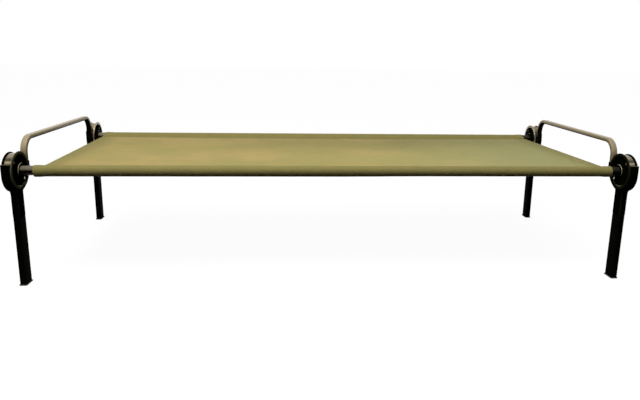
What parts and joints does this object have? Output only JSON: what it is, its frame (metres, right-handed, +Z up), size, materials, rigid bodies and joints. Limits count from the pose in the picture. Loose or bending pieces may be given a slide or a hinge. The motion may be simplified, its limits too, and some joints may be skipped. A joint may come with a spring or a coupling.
{
  "type": "camp bed",
  "caption": "Camp bed with a fabric deck sleeved on side rails whose end discs drop into cups on rigid end frames.",
  "frame": {"origin": "on the floor under the middle of the bed", "axes": "+X along the bed's length, +Y across it from the front rail to the rear rail, +Z up"},
  "size_m": [2.09, 0.8986, 0.492],
  "materials": {
    "deck_canvas": "woven, khaki green",
    "black_paint": "semi-gloss powder coat",
    "black_moulding": "satin moulding",
    "hub_moulding": "polished by use",
    "plain_steel": "plain",
    "spring_steel": "bright rolled",
    "screw_zinc": "yellow zinc",
    "foot_rubber": "dull"
  },
  "bodies": {
    "deck": {"deck_fabric": "deck_canvas"},
    "front_rail": {"front_rail_left": "black_paint", "front_rail_middle": "black_paint", "front_rail_right": "black_paint", "front_joiner_left": "plain_steel", "front_clip_left": "spring_steel", "front_left_disc_flange": "black_moulding", "front_left_disc_hub": "hub_moulding", "front_left_disc_screw_lower": "screw_zinc", "front_left_disc_screw_upper": "screw_zinc", "front_joiner_right": "plain_steel", "front_clip_right": "spring_steel", "front_right_disc_flange": "black_moulding", "front_right_disc_hub": "hub_moulding", "front_right_disc_screw_lower": "screw_zinc", "front_right_disc_screw_upper": "screw_zinc"},
    "rear_rail": {"rear_rail_left": "black_paint", "rear_rail_middle": "black_paint", "rear_rail_right": "black_paint", "rear_joiner_left": "plain_steel", "rear_clip_left": "spring_steel", "rear_left_disc_flange": "black_moulding", "rear_left_disc_hub": "hub_moulding", "rear_left_disc_screw_lower": "screw_zinc", "rear_left_disc_screw_upper": "screw_zinc", "rear_joiner_right": "plain_steel", "rear_clip_right": "spring_steel", "rear_right_disc_flange": "black_moulding", "rear_right_disc_hub": "hub_moulding", "rear_right_disc_screw_lower": "screw_zinc", "rear_right_disc_screw_upper": "screw_zinc"},
    "left_end_frame": {"left_end_bar": "black_paint", "front_left_leg_head": "black_moulding", "front_left_leg_tube": "black_paint", "front_left_leg_screw": "screw_zinc", "front_left_foot_cap": "foot_rubber", "front_left_bar_bolt": "black_moulding", "rear_left_leg_head": "black_moulding", "rear_left_leg_tube": "black_paint", "rear_left_leg_screw": "screw_zinc", "rear_left_foot_cap": "foot_rubber", "rear_left_bar_bolt": "black_moulding"},
    "right_end_frame": {"right_end_bar": "black_paint", "front_right_leg_head": "black_moulding", "front_right_leg_tube": "black_paint", "front_right_leg_screw": "screw_zinc", "front_right_foot_cap": "foot_rubber", "front_right_bar_bolt": "black_moulding", "rear_right_leg_head": "black_moulding", "rear_right_leg_tube": "black_paint", "rear_right_leg_screw": "screw_zinc", "rear_right_foot_cap": "foot_rubber", "rear_right_bar_bolt": "black_moulding"},
    "front_button_left": {"front_button_left": "plain_steel"},
    "front_button_right": {"front_button_right": "plain_steel"},
    "rear_button_left": {"rear_button_left": "plain_steel"},
    "rear_button_right": {"rear_button_right": "plain_steel"}
  },
  "joints": [
    {"name": "front_rail_turn", "type": "hinge", "parent": "deck", "child": "front_rail", "pos_m": [0, -0.3865, 0.3896], "axis": [1, 0, 0], "continuous": true},
    {"name": "rear_rail_turn", "type": "hinge", "parent": "deck", "child": "rear_rail", "pos_m": [0, 0.3865, 0.3896], "axis": [1, 0, 0], "continuous": true},
    {"name": "left_frame_lift_off", "type": "slide", "parent": "deck", "child": "left_end_frame", "axis": [0, 0, -1], "range_m": [0, 0.13]},
    {"name": "right_frame_lift_off", "type": "slide", "parent": "deck", "child": "right_end_frame", "axis": [0, 0, -1], "range_m": [0, 0.13]},
    {"name": "front_left_button_press", "type": "slide", "parent": "front_rail", "child": "front_button_left", "axis": [0, 0, 1], "range_m": [0, 0.0035], "stiffness_N_per_m": 1500, "springref_m": -0.002, "deforming": ["front_clip_left"]},
    {"name": "front_right_button_press", "type": "slide", "parent": "front_rail", "child": "front_button_right", "axis": [0, 0, 1], "range_m": [0, 0.0035], "stiffness_N_per_m": 1500, "springref_m": -0.002, "deforming": ["front_clip_right"]},
    {"name": "rear_left_button_press", "type": "slide", "parent": "rear_rail", "child": "rear_button_left", "axis": [0, 0, 1], "range_m": [0, 0.0035], "stiffness_N_per_m": 1500, "springref_m": -0.002, "deforming": ["rear_clip_left"]},
    {"name": "rear_right_button_press", "type": "slide", "parent": "rear_rail", "child": "rear_button_right", "axis": [0, 0, 1], "range_m": [0, 0.0035], "stiffness_N_per_m": 1500, "springref_m": -0.002, "deforming": ["rear_clip_right"]}
  ]
}
